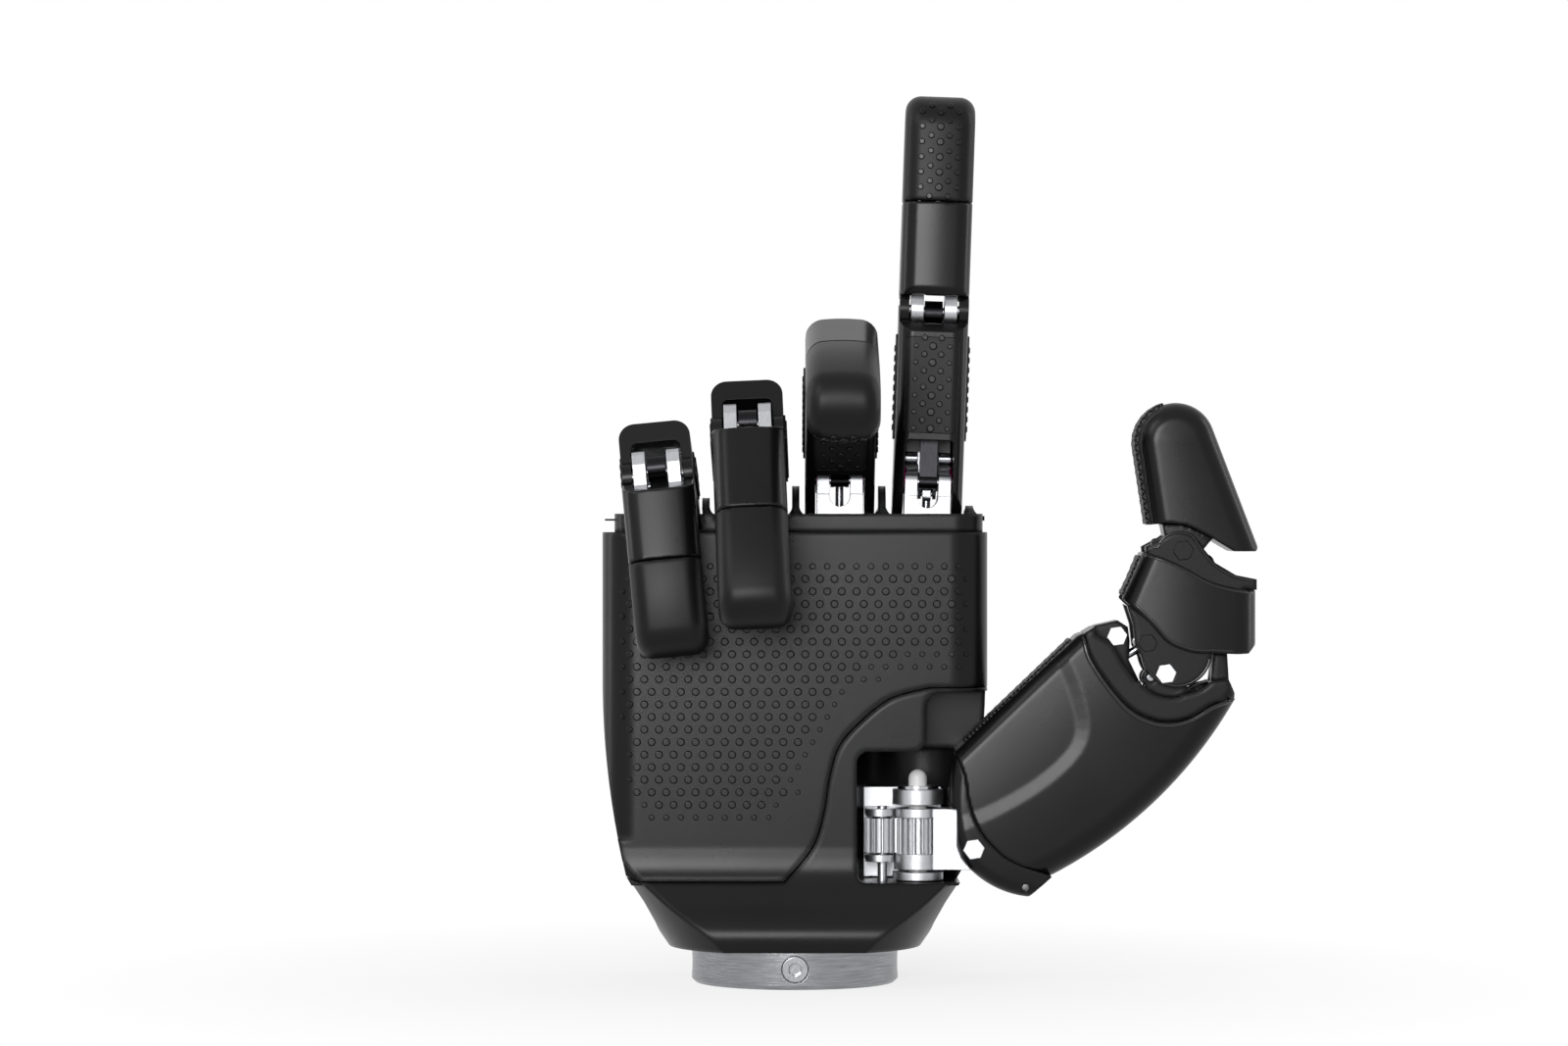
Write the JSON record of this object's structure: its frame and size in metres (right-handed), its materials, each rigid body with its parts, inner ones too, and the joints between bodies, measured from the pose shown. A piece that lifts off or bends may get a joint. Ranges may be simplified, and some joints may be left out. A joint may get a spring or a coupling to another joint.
{
  "type": "robot hand",
  "caption": "Dexterous right robot hand: palm on a round wrist ring, hinged fingers driven by rods and coupling links, and a swinging, bending thumb.",
  "frame": {"origin": "centre of the wrist ring's lower face", "axes": "+Z from the wrist towards the fingertips, +X towards the thumb, the palm faces -Y"},
  "size_m": [0.1415, 0.0988, 0.1932],
  "materials": {
    "black_shell": "satin moulded",
    "grip_pad": "matte with raised dots",
    "bright_ring": "brushed",
    "bright_metal": "machined",
    "steel": "ground",
    "drive_case": "satin",
    "board": "lacquered"
  },
  "bodies": {
    "palm": {"wrist_ring": "bright_ring", "ring_screws": "steel", "palm_chassis": "bright_metal", "palm_shell": "black_shell", "palm_cover": "black_shell", "knuckle_frame": "black_shell", "knuckle_clevises": "bright_metal", "knuckle_pins": "steel", "finger_drives": "drive_case", "control_board": "board", "cover_screws": "steel", "thumb_gear_frame": "bright_metal", "thumb_swing_motor": "steel", "thumb_bushes": "bright_metal"},
    "pinion": {"swing_pinion": "bright_metal"},
    "thumb_base": {"thumb_shaft": "steel", "thumb_hub": "bright_metal", "thumb_end_cap": "black_shell", "thumb_metacarpal": "black_shell", "thumb_neck": "black_shell", "thumb_drive": "drive_case", "thumb_pins": "steel"},
    "thumb_lower": {"thumb_proximal": "black_shell", "thumb_sleeve": "black_shell"},
    "thumb_upper": {"thumb_distal": "black_shell", "thumb_pad": "grip_pad"},
    "thumb_pushrod": {"thumb_rod": "steel"},
    "thumb_link": {"thumb_coupler": "steel"},
    "index_lower": {"index_proximal": "black_shell", "index_grip": "grip_pad", "index_crank": "steel"},
    "index_upper": {"index_knuckle": "bright_metal", "index_distal": "black_shell", "index_tip": "grip_pad"},
    "index_pushrod": {"index_rod": "steel"},
    "index_link": {"index_coupler": "steel"},
    "middle_lower": {"middle_proximal": "black_shell", "middle_grip": "grip_pad", "middle_crank": "steel"},
    "middle_upper": {"middle_knuckle": "bright_metal", "middle_distal": "black_shell", "middle_tip": "grip_pad"},
    "middle_pushrod": {"middle_rod": "steel"},
    "middle_link": {"middle_coupler": "steel"},
    "ring_lower": {"ring_proximal": "black_shell", "ring_grip": "grip_pad", "ring_crank": "steel"},
    "ring_upper": {"ring_knuckle": "bright_metal", "ring_distal": "black_shell", "ring_tip": "grip_pad"},
    "ring_pushrod": {"ring_rod": "steel"},
    "ring_link": {"ring_coupler": "steel"},
    "little_lower": {"little_proximal": "black_shell", "little_grip": "grip_pad", "little_crank": "steel"},
    "little_upper": {"little_knuckle": "bright_metal", "little_distal": "black_shell", "little_tip": "grip_pad"},
    "little_pushrod": {"little_rod": "steel"},
    "little_link": {"little_coupler": "steel"}
  },
  "joints": [
    {"name": "index_knuckle", "type": "hinge", "parent": "palm", "child": "index_lower", "pos_m": [0.029, 0, 0.1092], "axis": [0.9994, 0, -0.0349], "range_deg": [0, 74]},
    {"name": "index_curl", "type": "hinge", "parent": "index_lower", "child": "index_upper", "pos_m": [0.0303, -0.004, 0.14638], "axis": [0.9994, 0, -0.0349], "range_deg": [-1, 100.9]},
    {"name": "index_push", "type": "slide", "parent": "palm", "child": "index_pushrod", "axis": [0.0349, 0, 0.9994], "range_m": [-0.0002, 0.00562]},
    {"name": "index_link_turn", "type": "hinge", "parent": "palm", "child": "index_link", "pos_m": [0.02899, -0.0036, 0.1089], "axis": [0.9994, 0, -0.0349], "range_deg": [-1, 83.14]},
    {"name": "middle_knuckle", "type": "hinge", "parent": "palm", "child": "middle_lower", "pos_m": [0.0098, 0, 0.1096], "axis": [1, 0, 0], "range_deg": [-45.5, 28.5]},
    {"name": "middle_curl", "type": "hinge", "parent": "middle_lower", "child": "middle_upper", "pos_m": [0.0098, -0.02934, 0.13282], "axis": [1, 0, 0], "range_deg": [-62.42, 39.48]},
    {"name": "middle_push", "type": "slide", "parent": "palm", "child": "middle_pushrod", "axis": [0, 0, 1], "range_m": [-0.00353, 0.00229]},
    {"name": "middle_link_turn", "type": "hinge", "parent": "palm", "child": "middle_link", "pos_m": [0.0098, -0.0036, 0.1093], "axis": [1, 0, 0], "range_deg": [-51.51, 32.63]},
    {"name": "ring_knuckle", "type": "hinge", "parent": "palm", "child": "ring_lower", "pos_m": [-0.0094, 0, 0.1075], "axis": [0.999, 0, 0.0436], "range_deg": [-65.5, 8.5]},
    {"name": "ring_curl", "type": "hinge", "parent": "ring_lower", "child": "ring_upper", "pos_m": [-0.00991, -0.03551, 0.11928], "axis": [0.999, 0, 0.0436], "range_deg": [-89.42, 12.47]},
    {"name": "ring_push", "type": "slide", "parent": "palm", "child": "ring_pushrod", "axis": [-0.0436, 0, 0.999], "range_m": [-0.00499, 0.00082]},
    {"name": "ring_link_turn", "type": "hinge", "parent": "palm", "child": "ring_link", "pos_m": [-0.00939, -0.0036, 0.1072], "axis": [0.999, 0, 0.0436], "range_deg": [-73.7, 10.44]},
    {"name": "little_knuckle", "type": "hinge", "parent": "palm", "child": "little_lower", "pos_m": [-0.0286, 0, 0.1045], "axis": [0.9954, 0, 0.0958], "range_deg": [-72.5, 1.5]},
    {"name": "little_curl", "type": "hinge", "parent": "little_lower", "child": "little_upper", "pos_m": [-0.02914, -0.03124, 0.11013], "axis": [0.9954, 0, 0.0958], "range_deg": [-98.88, 3.02]},
    {"name": "little_push", "type": "slide", "parent": "palm", "child": "little_pushrod", "axis": [-0.0958, 0, 0.9954], "range_m": [-0.00551, 0.00031]},
    {"name": "little_link_turn", "type": "hinge", "parent": "palm", "child": "little_link", "pos_m": [-0.02857, -0.0036, 0.1042], "axis": [0.9954, 0, 0.0958], "range_deg": [-82.92, 2.69]},
    {"name": "thumb_swing", "type": "hinge", "parent": "palm", "child": "thumb_base", "pos_m": [0.0266, -0.01, 0], "axis": [0, 0, 1], "range_deg": [-90, 0]},
    {"name": "pinion_spin", "type": "hinge", "parent": "palm", "child": "pinion", "pos_m": [0.0189, -0.01, 0], "axis": [0, 0, 1], "range_deg": [-1, 121]},
    {"name": "thumb_flex", "type": "hinge", "parent": "thumb_base", "child": "thumb_lower", "pos_m": [0.0798, -0.01, 0.0676], "axis": [0, -1, 0], "range_deg": [-15, 25]},
    {"name": "thumb_curl", "type": "hinge", "parent": "thumb_lower", "child": "thumb_upper", "pos_m": [0.0835, -0.01, 0.0941], "axis": [0, -1, 0], "range_deg": [-19, 31]},
    {"name": "thumb_push", "type": "slide", "parent": "thumb_base", "child": "thumb_pushrod", "axis": [0.8572, 0, 0.515], "range_m": [-0.0035, 0.0022]},
    {"name": "thumb_link_turn", "type": "hinge", "parent": "thumb_base", "child": "thumb_link", "pos_m": [0.0767, -0.01, 0.0667], "axis": [0, -1, 0], "range_deg": [-16, 26]}
  ],
  "couplings": [
    {"joint": "index_curl", "follows": "index_knuckle", "ratio": 1.35},
    {"joint": "index_push", "follows": "index_knuckle", "m_per_rad": 0.0041937},
    {"joint": "index_link_turn", "follows": "index_knuckle", "ratio": 1.11},
    {"joint": "middle_curl", "follows": "middle_knuckle", "ratio": 1.35},
    {"joint": "middle_push", "follows": "middle_knuckle", "m_per_rad": 0.0041937},
    {"joint": "middle_link_turn", "follows": "middle_knuckle", "ratio": 1.11},
    {"joint": "ring_curl", "follows": "ring_knuckle", "ratio": 1.35},
    {"joint": "ring_push", "follows": "ring_knuckle", "m_per_rad": 0.0041937},
    {"joint": "ring_link_turn", "follows": "ring_knuckle", "ratio": 1.11},
    {"joint": "little_curl", "follows": "little_knuckle", "ratio": 1.35},
    {"joint": "little_push", "follows": "little_knuckle", "m_per_rad": 0.0041937},
    {"joint": "little_link_turn", "follows": "little_knuckle", "ratio": 1.13},
    {"joint": "pinion_spin", "follows": "thumb_swing", "ratio": -1.3333},
    {"joint": "thumb_curl", "follows": "thumb_flex", "ratio": 1.2},
    {"joint": "thumb_push", "follows": "thumb_flex", "m_per_rad": -0.0074},
    {"joint": "thumb_link_turn", "follows": "thumb_flex", "ratio": 1}
  ]
}
